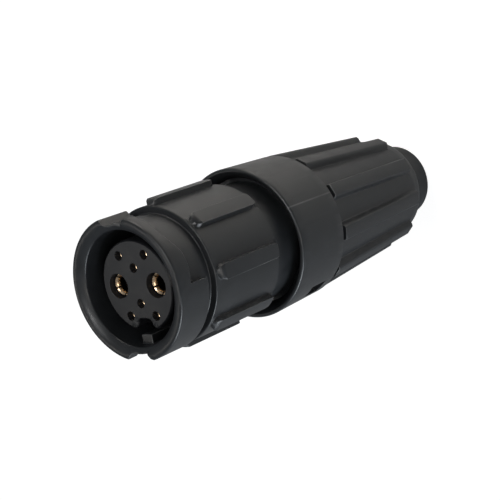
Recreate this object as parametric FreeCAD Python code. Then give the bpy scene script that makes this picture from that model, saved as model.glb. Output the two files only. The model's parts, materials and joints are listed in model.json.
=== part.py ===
import FreeCAD, Part
import math
import os

# Circular plug, millimetres. It stands on its cable end, mating face up along +Z.
# The origin is the centre of the cable end's face.
# It is modelled downwards from the mating rim, by depths, and then lifted.
# Clock angles run clockwise from +Y, as seen when looking at the mating face.

# Clearances
SLIDE = 0.05
SNUG = 0.02
SEAL_GAP = 0.03
EDGE = 0.3

# Mating skirt with its two outer bayonet tracks
SKIRT_RADIUS = 11.5
TRACK_DEPTH = 1.4
SKIRT_WALL = 0.8
RIM_LAND = 1.0
RIM_BEVEL_DEPTH = 0.9
SKIRT_LENGTH = 8.4
CAVITY_DEPTH = 12.0
TRACK_COUNT = 2
TRACK_FRONT = 2.2
TRACK_REAR = 6.4
TRACK_SWEEP = 89.0
ENTRY_FLOOR_ANGLE = 19.0
ENTRY_TOP_ANGLE = 27.0
ENTRY_FLOOR_RISE = 0.15
CAM_RISE = 1.1
CAM_LAND_RISE = 0.45
CAM_START = 50.0
CAM_TOP_START = 64.0
CAM_TOP_END = 75.0
KEY_WIDTH = 2.2
KEY_DEPTH = 2.5
KEY_HEIGHT = 1.55
KEY_ANGLE = 180.0

# Ribbed grip, neck and rear spigot of the front shell
GRIP_RADIUS = 11.27
GRIP_LENGTH = 15.9
GRIP_RIB_COUNT = 8
GRIP_RIB_WIDTH = 2.5
GRIP_RIB_HEIGHT = 1.0
GRIP_RIB_FRONT_INSET = 0.5
GRIP_RIB_REAR_INSET = 0.8
GRIP_RIB_NOSE = 1.1
GRIP_EDGE = 0.4
NECK_RADIUS = 10.3
NECK_LENGTH = 6.6
SPIGOT_STEP = 0.4
SPIGOT_LENGTH = 7.4

# Contact insert, its retainer and its lock ring
INSERT_RADIUS = 7.36
INSERT_RECESS = 2.7
INSERT_SEAT_DEPTH = 20.0
INSERT_FLANGE_RADIUS = 8.6
INSERT_FLANGE_THICKNESS = 3.0
INSERT_EDGE = 0.3
KEYWAY_WIDTH = 2.9
KEYWAY_FLOOR = 5.43
KEYWAY_CORNER = 0.8
KEYWAY_LENGTH = 7.9
KEYWAY_MOUTH_ROUND = 0.9
RETAINER_THICKNESS = 6.0
LOCK_RING_THICKNESS = 2.0
LOCK_RING_WIDTH = 1.7
INTERFACE_SEAL_THICKNESS = 1.2

# Contacts
POWER_SPACING = 8.12
POWER_PIN_RADIUS = 1.25
POWER_SLEEVE_RADIUS = 1.78
POWER_BODY_RADIUS = 1.95
POWER_COLLAR_RADIUS = 2.35
POWER_BARREL_RADIUS = 1.6
POWER_WIRE_RADIUS = 1.15
POWER_FRONT_INSET = 1.05
POWER_SLOT_COUNT = 5
POWER_SLOT_ANGLE = 34.0
POWER_SLOT_WIDTH = 0.3
SIGNAL_OUTER_X = 2.75
SIGNAL_OUTER_Y = 4.85
SIGNAL_INNER_Y = 2.85
SIGNAL_PIN_RADIUS = 0.5
SIGNAL_SLEEVE_RADIUS = 0.72
SIGNAL_BODY_RADIUS = 0.78
SIGNAL_COLLAR_RADIUS = 1.15
SIGNAL_BARREL_RADIUS = 0.7
SIGNAL_WIRE_RADIUS = 0.4
SIGNAL_FRONT_INSET = 1.2
SIGNAL_SLOT_COUNT = 2
SIGNAL_SLOT_ANGLE = 0.0
SIGNAL_SLOT_WIDTH = 0.2
CONTACT_SLEEVE_LENGTH = 9.5
CONTACT_SLOT_LENGTH = 7.0
COLLAR_THICKNESS = 2.0
BARREL_LENGTH = 12.0
CRIMP_HOLE_LENGTH = 7.0
CLIP_GAP_ANGLE = 50.0

# Body sleeve
SLEEVE_FRONT_RADIUS = 13.0
SLEEVE_REAR_RADIUS = 12.65
SLEEVE_LENGTH = 12.2
RECESS_DEPTH = 2.6
RECESS_RADIUS = 11.1
RECESS_LIP = 0.35
RECESS_BEVEL_DEPTH = 1.5
SOCKET_END_GAP = 0.2
THREAD_RADIUS = 8.95
THREAD_LENGTH = 15.5
THREAD_RELIEF = 0.5
CABLE_WAY_RADIUS = 7.0
GLAND_POCKET_RADIUS = 7.9
GLAND_POCKET_DEPTH = 2.0
WINDOW_ANGLE = 145.5
WINDOW_WIDTH = 3.5
WINDOW_LENGTH = 4.2
WINDOW_FRONT = 34.2
LATCH_HEIGHT = 1.2
LATCH_MARGIN = 0.2
SEAL_GROOVE_FRONT = 31.9
SEAL_GROOVE_WIDTH = 1.7
SEAL_GROOVE_DEPTH = 0.7

# Cable seal, clamp cage and thrust washer
CABLE_RADIUS = 4.6
GROMMET_RADIUS = 6.1
GROMMET_TAIL = 9.0
CAGE_BASE_THICKNESS = 1.5
CAGE_FINGER_LENGTH = 8.4
CAGE_FINGER_COUNT = 8
CAGE_SLOT_WIDTH = 0.9
CAGE_WALL = 1.1
CAGE_TAPER = 0.8
WASHER_THICKNESS = 0.8

# Gland nut
NUT_GAP = 0.7
NUT_RIDGE_COUNT = 10
NUT_RIDGE_ANGLE = 27.0
NUT_RIDGE_TOP_WIDTH = 2.2
NUT_RIDGE_FOOT_WIDTH = 3.3
NUT_RIDGE_FRONT_RADIUS = 12.6
NUT_RIDGE_REAR_RADIUS = 10.85
NUT_VALLEY_FRONT_RADIUS = 11.2
NUT_VALLEY_REAR_RADIUS = 9.7
NUT_RIDGE_LENGTH = 26.2
NUT_RIDGE_LAND = 0.5
SHOULDER_LENGTH = 6.2
SHOULDER_KNEE = 2.8
SHOULDER_SLOPE = 0.15
END_COLLAR_RADIUS = 6.9
END_COLLAR_LENGTH = 3.9
END_COLLAR_EDGE = 0.4
CABLE_HOLE_RADIUS = 5.0

# Values that follow from the driving dimensions
TRACK_RADIUS = SKIRT_RADIUS - TRACK_DEPTH
CAVITY_RADIUS = TRACK_RADIUS - SKIRT_WALL
GRIP_END = SKIRT_LENGTH + GRIP_LENGTH
NECK_END = GRIP_END + NECK_LENGTH
SPIGOT_RADIUS = NECK_RADIUS - SPIGOT_STEP
SPIGOT_END = NECK_END + SPIGOT_LENGTH
SHELL_BORE_RADIUS = INSERT_FLANGE_RADIUS + SLIDE
FLANGE_END = INSERT_SEAT_DEPTH + INSERT_FLANGE_THICKNESS
RETAINER_END = FLANGE_END + RETAINER_THICKNESS
LOCK_END = RETAINER_END + LOCK_RING_THICKNESS
SLEEVE_FRONT = NECK_END - RECESS_DEPTH
SLEEVE_REAR = SLEEVE_FRONT + SLEEVE_LENGTH
SOCKET_RADIUS = SPIGOT_RADIUS + SLIDE
SOCKET_END = SPIGOT_END + SOCKET_END_GAP
THREAD_END = SLEEVE_REAR + THREAD_LENGTH
POCKET_FLOOR = THREAD_END - GLAND_POCKET_DEPTH
CAGE_BASE_END = THREAD_END + CAGE_BASE_THICKNESS
FINGER_END = CAGE_BASE_END + CAGE_FINGER_LENGTH
CAGE_INNER_RADIUS = GROMMET_RADIUS + SLIDE
CAGE_FRONT_RADIUS = CAGE_INNER_RADIUS + CAGE_WALL + CAGE_TAPER
CAGE_REAR_RADIUS = CAGE_INNER_RADIUS + CAGE_WALL
NUT_FRONT = SLEEVE_REAR + NUT_GAP
RIDGE_END = NUT_FRONT + NUT_RIDGE_LENGTH
NUT_SEAT = FINGER_END + SLIDE + WASHER_THICKNESS
SHOULDER_END = RIDGE_END + SHOULDER_LENGTH
PLUG_LENGTH = SHOULDER_END + END_COLLAR_LENGTH


def disc(radius, top, bottom):
    """Cylinder between two depths."""
    return Part.makeCylinder(radius, bottom - top, FreeCAD.Vector(0, 0, -bottom))


def ring(outer, inner, top, bottom):
    """Plain ring between two depths."""
    return disc(outer, top, bottom).cut(disc(inner, top - 1, bottom + 1))


def revolve(outline):
    """Solid of revolution from a closed outline of (radius, depth) points."""
    points = [FreeCAD.Vector(radius, 0, -depth) for radius, depth in outline]
    face = Part.Face(Part.makePolygon(points + points[:1]))
    return face.revolve(FreeCAD.Vector(0, 0, 0), FreeCAD.Vector(0, 0, 1), 360)


def clock(radius, angle, depth):
    """Point at a clock angle."""
    turn = math.radians(angle)
    return FreeCAD.Vector(radius * math.sin(turn), radius * math.cos(turn), -depth)


def turned(shape, angle):
    """Copy of a shape that was modelled at twelve o'clock, moved to a clock angle."""
    copy = shape.copy()
    copy.rotate(FreeCAD.Vector(0, 0, 0), FreeCAD.Vector(0, 0, 1), -angle)
    return copy


def moved(shape, x, y):
    """Copy of a shape moved sideways."""
    copy = shape.copy()
    copy.translate(FreeCAD.Vector(x, y, 0))
    return copy


def block(width, inner, outer, top, bottom):
    """Box at twelve o'clock, centred on +Y, between two radii and two depths."""
    corner = FreeCAD.Vector(-width / 2, inner, -bottom)
    return Part.makeBox(width, outer - inner, bottom - top, corner)


def sector(inner, outer, top, bottom, start, end):
    """Ring piece between two clock angles."""
    middle = (start + end) / 2
    inner_arc = Part.Arc(clock(inner, start, bottom), clock(inner, middle, bottom), clock(inner, end, bottom))
    outer_arc = Part.Arc(clock(outer, end, bottom), clock(outer, middle, bottom), clock(outer, start, bottom))
    sides = [
        inner_arc.toShape(),
        Part.makeLine(clock(inner, end, bottom), clock(outer, end, bottom)),
        outer_arc.toShape(),
        Part.makeLine(clock(outer, start, bottom), clock(inner, start, bottom)),
    ]
    return Part.Face(Part.Wire(sides)).extrude(FreeCAD.Vector(0, 0, bottom - top))


def rounded_bar(width, inner, outer, top, bottom):
    """Bar at twelve o'clock with half-round ends, standing up radially."""
    radius = width / 2
    bar = block(width, inner, outer, top + radius, bottom - radius)
    for depth in (top + radius, bottom - radius):
        foot = FreeCAD.Vector(0, inner, -depth)
        bar = bar.fuse(Part.makeCylinder(radius, outer - inner, foot, FreeCAD.Vector(0, 1, 0)))
    return bar.removeSplitter()


def shell_blank():
    """Skirt, grip, neck and spigot as one turned tube."""
    return revolve([
        (SKIRT_RADIUS - RIM_LAND, 0),
        (SKIRT_RADIUS - EDGE, 0),
        (SKIRT_RADIUS, EDGE),
        (SKIRT_RADIUS, TRACK_REAR),
        (TRACK_RADIUS, TRACK_REAR),
        (TRACK_RADIUS, SKIRT_LENGTH),
        (GRIP_RADIUS - GRIP_EDGE / 2, SKIRT_LENGTH),
        (GRIP_RADIUS, SKIRT_LENGTH + GRIP_EDGE / 2),
        (GRIP_RADIUS, GRIP_END - GRIP_EDGE),
        (GRIP_RADIUS - GRIP_EDGE, GRIP_END),
        (NECK_RADIUS, GRIP_END),
        (NECK_RADIUS, NECK_END),
        (SPIGOT_RADIUS, NECK_END),
        (SPIGOT_RADIUS, SPIGOT_END),
        (SHELL_BORE_RADIUS, SPIGOT_END),
        (SHELL_BORE_RADIUS, INSERT_SEAT_DEPTH),
        (INSERT_RADIUS + SLIDE, INSERT_SEAT_DEPTH),
        (INSERT_RADIUS + SLIDE, CAVITY_DEPTH),
        (CAVITY_RADIUS, CAVITY_DEPTH),
        (CAVITY_RADIUS, RIM_BEVEL_DEPTH),
    ])


def entry_slot():
    """Entry of one bayonet track, open at the rim, with sloping walls."""
    floor = TRACK_RADIUS + ENTRY_FLOOR_RISE
    top = SKIRT_RADIUS + 1
    half_floor = ENTRY_FLOOR_ANGLE / 2
    half_top = ENTRY_TOP_ANGLE / 2
    outline = [
        clock(floor, -half_floor, TRACK_REAR),
        clock(floor, half_floor, TRACK_REAR),
        clock(SKIRT_RADIUS, half_top, TRACK_REAR),
        clock(top, half_top, TRACK_REAR),
        clock(top, -half_top, TRACK_REAR),
        clock(SKIRT_RADIUS, -half_top, TRACK_REAR),
    ]
    face = Part.Face(Part.makePolygon(outline + outline[:1]))
    prism = face.extrude(FreeCAD.Vector(0, 0, TRACK_REAR + 1))
    return prism.cut(disc(floor, -2, TRACK_REAR + 1))


def cam_wall(start, end, start_rise, end_rise):
    """Stretch of the track's front wall that rises towards the grip."""
    sections = []
    for angle, rise in ((start, start_rise), (end, end_rise)):
        corners = [
            clock(TRACK_RADIUS - EDGE, angle, TRACK_FRONT - EDGE),
            clock(SKIRT_RADIUS + 1, angle, TRACK_FRONT - EDGE),
            clock(SKIRT_RADIUS + 1, angle, TRACK_FRONT + rise),
            clock(TRACK_RADIUS - EDGE, angle, TRACK_FRONT + rise),
        ]
        sections.append(Part.makePolygon(corners + corners[:1]))
    return Part.makeLoft(sections, True, True).common(disc(SKIRT_RADIUS, 0, TRACK_REAR))


def bayonet_track():
    """Tool that cuts one track, from its entry slot to its end stop."""
    run = sector(TRACK_RADIUS, SKIRT_RADIUS + 1, TRACK_FRONT, TRACK_REAR, -ENTRY_FLOOR_ANGLE / 2, TRACK_SWEEP)
    cut = run.fuse(entry_slot())
    steps = [
        (CAM_START, CAM_TOP_START, SNUG, CAM_RISE),
        (CAM_TOP_START, CAM_TOP_END, CAM_RISE, CAM_RISE),
        (CAM_TOP_END, TRACK_SWEEP + 1, CAM_RISE, CAM_LAND_RISE),
    ]
    for step in steps:
        cut = cut.cut(cam_wall(*step))
    return cut


def latch():
    """Latch block of the shell that stands in a window of the body sleeve."""
    width = WINDOW_WIDTH - 2 * LATCH_MARGIN
    front = WINDOW_FRONT + LATCH_MARGIN
    rear = WINDOW_FRONT + WINDOW_LENGTH - LATCH_MARGIN
    body = block(width, SPIGOT_RADIUS - EDGE, SPIGOT_RADIUS + LATCH_HEIGHT, front, rear)
    nose = Part.makePolygon([
        FreeCAD.Vector(0, SPIGOT_RADIUS + LATCH_HEIGHT / 2, -rear),
        FreeCAD.Vector(0, SPIGOT_RADIUS + LATCH_HEIGHT + EDGE, -rear),
        FreeCAD.Vector(0, SPIGOT_RADIUS + LATCH_HEIGHT + EDGE, -(front + rear) / 2),
        FreeCAD.Vector(0, SPIGOT_RADIUS + LATCH_HEIGHT / 2, -rear),
    ])
    wedge = Part.Face(nose).extrude(FreeCAD.Vector(2 * width, 0, 0))
    return body.cut(moved(wedge, -width, 0))


def grip_rib():
    """Rib of the grip at twelve o'clock, with half-round ends and a sloping nose."""
    front = SKIRT_LENGTH + GRIP_RIB_FRONT_INSET
    rear = GRIP_END - GRIP_RIB_REAR_INSET
    top = GRIP_RADIUS + GRIP_RIB_HEIGHT
    envelope = revolve([
        (0, front),
        (GRIP_RADIUS, front),
        (top - GRIP_RIB_HEIGHT / 3, front + GRIP_RIB_NOSE / 3),
        (top, front + GRIP_RIB_NOSE),
        (top, rear - GRIP_RIB_NOSE / 2),
        (top - GRIP_RIB_HEIGHT / 3, rear),
        (0, rear),
    ])
    return rounded_bar(GRIP_RIB_WIDTH, GRIP_RADIUS - EDGE, top + 1, front, rear).common(envelope)


def front_shell():
    """Moulding with the mating skirt, the polarising key, the ribbed grip and the spigot."""
    shell = shell_blank()
    for index in range(TRACK_COUNT):
        shell = shell.cut(turned(bayonet_track(), 360 * index / TRACK_COUNT))
    groove_end = SEAL_GROOVE_FRONT + SEAL_GROOVE_WIDTH
    groove = ring(SPIGOT_RADIUS + 1, SPIGOT_RADIUS - SEAL_GROOVE_DEPTH, SEAL_GROOVE_FRONT, groove_end)
    shell = shell.cut(groove)
    extras = [turned(grip_rib(), 360 * index / GRIP_RIB_COUNT) for index in range(GRIP_RIB_COUNT)]
    key = block(KEY_WIDTH, CAVITY_RADIUS - KEY_HEIGHT, CAVITY_RADIUS + EDGE, KEY_DEPTH, CAVITY_DEPTH + EDGE)
    extras.append(turned(key, KEY_ANGLE))
    extras.append(turned(latch(), WINDOW_ANGLE))
    extras.append(turned(latch(), WINDOW_ANGLE + 180))
    return shell.multiFuse(extras).removeSplitter()


def interface_seal():
    """Flat seal on the floor of the mating cavity."""
    top = CAVITY_DEPTH - INTERFACE_SEAL_THICKNESS
    seal = ring(CAVITY_RADIUS - SEAL_GAP, INSERT_RADIUS + SEAL_GAP, top, CAVITY_DEPTH)
    gap_floor = CAVITY_RADIUS - KEY_HEIGHT - SLIDE
    gap = block(KEY_WIDTH + 2 * SLIDE, gap_floor, CAVITY_RADIUS + 1, top - 1, CAVITY_DEPTH + 1)
    return seal.cut(turned(gap, KEY_ANGLE))


def power_places():
    """Centres of the two power contacts."""
    return [(-POWER_SPACING / 2, 0), (POWER_SPACING / 2, 0)]


def signal_places():
    """Centres of the six signal contacts."""
    places = [(0, SIGNAL_INNER_Y), (0, -SIGNAL_INNER_Y)]
    for side in (-1, 1):
        for end in (-1, 1):
            places.append((side * SIGNAL_OUTER_X, end * SIGNAL_OUTER_Y))
    return places


def contact_bores(collar, top, bottom, body, sleeve):
    """Stepped hole for one contact, with a counterbore for its collar and clip."""
    narrow = disc(sleeve, top - 1, bottom)
    middle = disc(body, top + CONTACT_SLEEVE_LENGTH, bottom)
    wide = disc(collar, INSERT_SEAT_DEPTH, bottom)
    return narrow.fuse(middle).fuse(wide)


def keyway():
    """Keyway at twelve o'clock, with round corners and a rounded mouth."""
    end = INSERT_RECESS + KEYWAY_LENGTH
    top = INSERT_RECESS - 1
    half = KEYWAY_WIDTH / 2
    corner_x = half - KEYWAY_CORNER
    corner_y = KEYWAY_FLOOR + KEYWAY_CORNER
    slot = block(KEYWAY_WIDTH, corner_y, INSERT_RADIUS + 1, top, end)
    slot = slot.fuse(block(2 * corner_x, KEYWAY_FLOOR, INSERT_RADIUS, top, end))
    for side in (-corner_x, corner_x):
        slot = slot.fuse(moved(disc(KEYWAY_CORNER, top, end), side, corner_y))
    round_x = half + KEYWAY_MOUTH_ROUND
    round_y = math.sqrt((INSERT_RADIUS - KEYWAY_MOUTH_ROUND) ** 2 - round_x ** 2)
    corners = [
        FreeCAD.Vector(-round_x, round_y, -end),
        FreeCAD.Vector(-2 * round_x, 2 * round_y, -end),
        FreeCAD.Vector(2 * round_x, 2 * round_y, -end),
        FreeCAD.Vector(round_x, round_y, -end),
    ]
    outline = Part.Face(Part.makePolygon(corners + corners[:1]))
    mouth = outline.extrude(FreeCAD.Vector(0, 0, KEYWAY_LENGTH + 1))
    for side in (-round_x, round_x):
        mouth = mouth.cut(moved(disc(KEYWAY_MOUTH_ROUND, 0, end + 1), side, round_y))
    return slot.fuse(mouth)


def contact_insert():
    """Round contact block with its keyway, contact holes and seating flange."""
    insert = revolve([
        (0, INSERT_RECESS),
        (INSERT_RADIUS, INSERT_RECESS),
        (INSERT_RADIUS, INSERT_SEAT_DEPTH),
        (INSERT_FLANGE_RADIUS, INSERT_SEAT_DEPTH),
        (INSERT_FLANGE_RADIUS, FLANGE_END),
        (0, FLANGE_END),
    ])
    insert = insert.cut(turned(keyway(), KEY_ANGLE))
    rim = [edge for edge in insert.Edges if edge.BoundBox.ZMin > -INSERT_RECESS - SNUG]
    insert = insert.makeChamfer(INSERT_EDGE, rim)
    for x, y in power_places():
        hole = contact_bores(
            POWER_COLLAR_RADIUS + SLIDE,
            INSERT_RECESS,
            FLANGE_END + 1,
            POWER_BODY_RADIUS + SLIDE,
            POWER_BODY_RADIUS + SLIDE,
        )
        insert = insert.cut(moved(hole, x, y))
    for x, y in signal_places():
        hole = contact_bores(
            SIGNAL_COLLAR_RADIUS + SLIDE,
            INSERT_RECESS,
            FLANGE_END + 1,
            SIGNAL_BODY_RADIUS + SLIDE,
            SIGNAL_SLEEVE_RADIUS + SLIDE,
        )
        insert = insert.cut(moved(hole, x, y))
    return insert


def contact_retainer():
    """Plate behind the insert that holds the contacts in."""
    plate = disc(INSERT_FLANGE_RADIUS, FLANGE_END, RETAINER_END)
    groups = ((power_places(), POWER_BARREL_RADIUS), (signal_places(), SIGNAL_BARREL_RADIUS))
    for places, barrel in groups:
        hole = disc(barrel + SLIDE, FLANGE_END - 1, RETAINER_END + 1)
        for x, y in places:
            plate = plate.cut(moved(hole, x, y))
    return plate


def lock_ring():
    """Ring that locks the retainer in the shell."""
    return ring(INSERT_FLANGE_RADIUS, INSERT_FLANGE_RADIUS - LOCK_RING_WIDTH, RETAINER_END, LOCK_END)


def contact(pin, sleeve, body, collar, barrel, wire, inset, slots):
    """Turned socket contact with a slotted mouth, a collar and a crimp barrel."""
    front = INSERT_RECESS + inset
    body_front = INSERT_RECESS + CONTACT_SLEEVE_LENGTH + SLIDE
    collar_end = INSERT_SEAT_DEPTH + COLLAR_THICKNESS
    barrel_end = FLANGE_END + BARREL_LENGTH
    shape = revolve([
        (pin + SNUG, front),
        (sleeve, front),
        (sleeve, body_front),
        (body, body_front),
        (body, INSERT_SEAT_DEPTH),
        (collar, INSERT_SEAT_DEPTH),
        (collar, collar_end),
        (barrel, collar_end),
        (barrel, barrel_end),
        (wire, barrel_end),
        (wire, barrel_end - CRIMP_HOLE_LENGTH),
        (0, barrel_end - CRIMP_HOLE_LENGTH),
        (0, body_front),
        (pin + SNUG, body_front),
    ])
    slot_count, slot_angle, slot_width = slots
    slot = block(slot_width, 0, sleeve + 1, front - 1, front + CONTACT_SLOT_LENGTH)
    for index in range(slot_count):
        shape = shape.cut(turned(slot, slot_angle + 360 * index / slot_count))
    return shape


def clip(barrel, collar):
    """Split spring ring between a contact's collar and the retainer."""
    top = INSERT_SEAT_DEPTH + COLLAR_THICKNESS
    gap = sector(barrel / 2, collar + 1, top - 1, FLANGE_END + 1, -CLIP_GAP_ANGLE / 2, CLIP_GAP_ANGLE / 2)
    return ring(collar, barrel + SNUG, top, FLANGE_END).cut(gap)


def body_sleeve():
    """Central band with its front recess, latch windows and threaded spigot."""
    outer_at_edge = SLEEVE_FRONT_RADIUS - EDGE
    sleeve = revolve([
        (outer_at_edge - RECESS_LIP, SLEEVE_FRONT),
        (outer_at_edge, SLEEVE_FRONT),
        (SLEEVE_FRONT_RADIUS, SLEEVE_FRONT + EDGE),
        (SLEEVE_REAR_RADIUS, SLEEVE_REAR - EDGE),
        (SLEEVE_REAR_RADIUS - EDGE, SLEEVE_REAR),
        (THREAD_RADIUS, SLEEVE_REAR),
        (THREAD_RADIUS, THREAD_END - THREAD_RELIEF),
        (THREAD_RADIUS - THREAD_RELIEF, THREAD_END),
        (GLAND_POCKET_RADIUS, THREAD_END),
        (GLAND_POCKET_RADIUS, POCKET_FLOOR),
        (CABLE_WAY_RADIUS, POCKET_FLOOR),
        (CABLE_WAY_RADIUS, SOCKET_END),
        (SOCKET_RADIUS, SOCKET_END),
        (SOCKET_RADIUS, NECK_END),
        (RECESS_RADIUS, NECK_END),
        (RECESS_RADIUS, SLEEVE_FRONT + RECESS_BEVEL_DEPTH),
    ])
    window_end = WINDOW_FRONT + WINDOW_LENGTH
    window = block(WINDOW_WIDTH, SOCKET_RADIUS - 1, SLEEVE_FRONT_RADIUS + 1, WINDOW_FRONT, window_end)
    return sleeve.cut(turned(window, WINDOW_ANGLE)).cut(turned(window, WINDOW_ANGLE + 180))


def body_seal():
    """Sealing ring with a bevelled square section, in the groove of the shell's spigot."""
    inner = SPIGOT_RADIUS - SEAL_GROOVE_DEPTH + SEAL_GAP
    outer = SOCKET_RADIUS - SEAL_GAP
    bevel = (outer - inner) / 4
    front = SEAL_GROOVE_FRONT + SEAL_GAP
    rear = SEAL_GROOVE_FRONT + SEAL_GROOVE_WIDTH - SEAL_GAP
    return revolve([
        (inner, front),
        (outer - bevel, front),
        (outer, front + bevel),
        (outer, rear - bevel),
        (outer - bevel, rear),
        (inner, rear),
    ])


def cable_grommet():
    """Rubber sleeve that seals on the cable, with a flange in the pocket of the spigot."""
    tail_end = THREAD_END + GROMMET_TAIL
    return revolve([
        (CABLE_RADIUS, POCKET_FLOOR),
        (GLAND_POCKET_RADIUS - SLIDE, POCKET_FLOOR),
        (GLAND_POCKET_RADIUS - SLIDE, THREAD_END),
        (GROMMET_RADIUS, THREAD_END),
        (GROMMET_RADIUS, tail_end),
        (CABLE_RADIUS, tail_end),
    ])


def clamp_cage():
    """Slotted cage whose fingers the nut's cone closes on the grommet."""
    base_radius = THREAD_RADIUS - THREAD_RELIEF
    cage = revolve([
        (CAGE_INNER_RADIUS, THREAD_END),
        (base_radius, THREAD_END),
        (base_radius, CAGE_BASE_END),
        (CAGE_FRONT_RADIUS, CAGE_BASE_END),
        (CAGE_REAR_RADIUS, FINGER_END),
        (CAGE_INNER_RADIUS, FINGER_END),
    ])
    for index in range(CAGE_FINGER_COUNT // 2):
        slot = block(CAGE_SLOT_WIDTH, -base_radius - 1, base_radius + 1, CAGE_BASE_END, FINGER_END + 1)
        cage = cage.cut(turned(slot, 360 * index / CAGE_FINGER_COUNT))
    return cage


def thrust_washer():
    """Plain washer between the cage's fingers and the nut's seat."""
    return ring(CAGE_REAR_RADIUS, CABLE_HOLE_RADIUS + EDGE, NUT_SEAT - WASHER_THICKNESS, NUT_SEAT)


def nut_ridge():
    """Straight ridge at twelve o'clock that tapers with the nut."""
    sections = []
    for depth, top, foot in (
        (NUT_FRONT, NUT_RIDGE_FRONT_RADIUS, NUT_VALLEY_FRONT_RADIUS),
        (RIDGE_END, NUT_RIDGE_REAR_RADIUS, NUT_VALLEY_REAR_RADIUS),
    ):
        low = foot - 2 * EDGE
        corners = [
            FreeCAD.Vector(-NUT_RIDGE_FOOT_WIDTH / 2, low, -depth),
            FreeCAD.Vector(NUT_RIDGE_FOOT_WIDTH / 2, low, -depth),
            FreeCAD.Vector(NUT_RIDGE_TOP_WIDTH / 2 + EDGE / 2, top - EDGE, -depth),
            FreeCAD.Vector(NUT_RIDGE_TOP_WIDTH / 2 - EDGE / 2, top, -depth),
            FreeCAD.Vector(-NUT_RIDGE_TOP_WIDTH / 2 + EDGE / 2, top, -depth),
            FreeCAD.Vector(-NUT_RIDGE_TOP_WIDTH / 2 - EDGE / 2, top - EDGE, -depth),
        ]
        sections.append(Part.makePolygon(corners + corners[:1]))
    return Part.makeLoft(sections, True, True)


def gland_nut():
    """Ridged clamping nut with a sloping shoulder and the end collar."""
    bore = THREAD_RADIUS + SLIDE
    cone_gap = SLIDE / 2
    nut = revolve([
        (bore, NUT_FRONT),
        (NUT_VALLEY_FRONT_RADIUS, NUT_FRONT),
        (NUT_VALLEY_REAR_RADIUS, RIDGE_END + NUT_RIDGE_LAND),
        (NUT_VALLEY_REAR_RADIUS - SHOULDER_SLOPE * SHOULDER_KNEE, RIDGE_END + SHOULDER_KNEE),
        (END_COLLAR_RADIUS + EDGE, SHOULDER_END - EDGE),
        (END_COLLAR_RADIUS, SHOULDER_END),
        (END_COLLAR_RADIUS, PLUG_LENGTH - END_COLLAR_EDGE),
        (END_COLLAR_RADIUS - END_COLLAR_EDGE, PLUG_LENGTH),
        (CABLE_HOLE_RADIUS, PLUG_LENGTH),
        (CABLE_HOLE_RADIUS, NUT_SEAT),
        (CAGE_REAR_RADIUS + cone_gap, NUT_SEAT),
        (CAGE_REAR_RADIUS + cone_gap, FINGER_END),
        (CAGE_FRONT_RADIUS + cone_gap, CAGE_BASE_END),
        (bore, CAGE_BASE_END),
    ])
    ridges = [
        turned(nut_ridge(), NUT_RIDGE_ANGLE + 360 * index / NUT_RIDGE_COUNT)
        for index in range(NUT_RIDGE_COUNT)
    ]
    return nut.multiFuse(ridges).removeSplitter()


def all_parts():
    """Every piece of the plug by name."""
    parts = {
        "front_shell": front_shell(),
        "interface_seal": interface_seal(),
        "contact_insert": contact_insert(),
        "contact_retainer": contact_retainer(),
        "lock_ring": lock_ring(),
        "body_sleeve": body_sleeve(),
        "body_seal": body_seal(),
        "cable_grommet": cable_grommet(),
        "clamp_cage": clamp_cage(),
        "thrust_washer": thrust_washer(),
        "gland_nut": gland_nut(),
    }
    power = contact(
        POWER_PIN_RADIUS,
        POWER_SLEEVE_RADIUS,
        POWER_BODY_RADIUS,
        POWER_COLLAR_RADIUS,
        POWER_BARREL_RADIUS,
        POWER_WIRE_RADIUS,
        POWER_FRONT_INSET,
        (POWER_SLOT_COUNT, POWER_SLOT_ANGLE, POWER_SLOT_WIDTH),
    )
    power_clip = clip(POWER_BARREL_RADIUS, POWER_COLLAR_RADIUS)
    for number, (x, y) in enumerate(power_places(), 1):
        parts[f"power_socket_{number}"] = moved(power, x, y)
        parts[f"power_clip_{number}"] = moved(power_clip, x, y)
    signal = contact(
        SIGNAL_PIN_RADIUS,
        SIGNAL_SLEEVE_RADIUS,
        SIGNAL_BODY_RADIUS,
        SIGNAL_COLLAR_RADIUS,
        SIGNAL_BARREL_RADIUS,
        SIGNAL_WIRE_RADIUS,
        SIGNAL_FRONT_INSET,
        (SIGNAL_SLOT_COUNT, SIGNAL_SLOT_ANGLE, SIGNAL_SLOT_WIDTH),
    )
    signal_clip = clip(SIGNAL_BARREL_RADIUS, SIGNAL_COLLAR_RADIUS)
    for number, (x, y) in enumerate(signal_places(), 1):
        parts[f"signal_socket_{number}"] = moved(signal, x, y)
        parts[f"signal_clip_{number}"] = moved(signal_clip, x, y)
    return parts


os.makedirs("parts", exist_ok=True)
for name, shape in all_parts().items():
    solid = shape.Solids[0].copy()
    solid.translate(FreeCAD.Vector(0, 0, PLUG_LENGTH))
    solid.exportStep(f"parts/{name}.step")
    print(name, len(shape.Solids), round(solid.Volume, 1), solid.isValid())
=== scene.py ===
import json
import math

import bmesh
import bpy
from mathutils import Matrix, Vector
from mathutils.bvhtree import BVHTree


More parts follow.
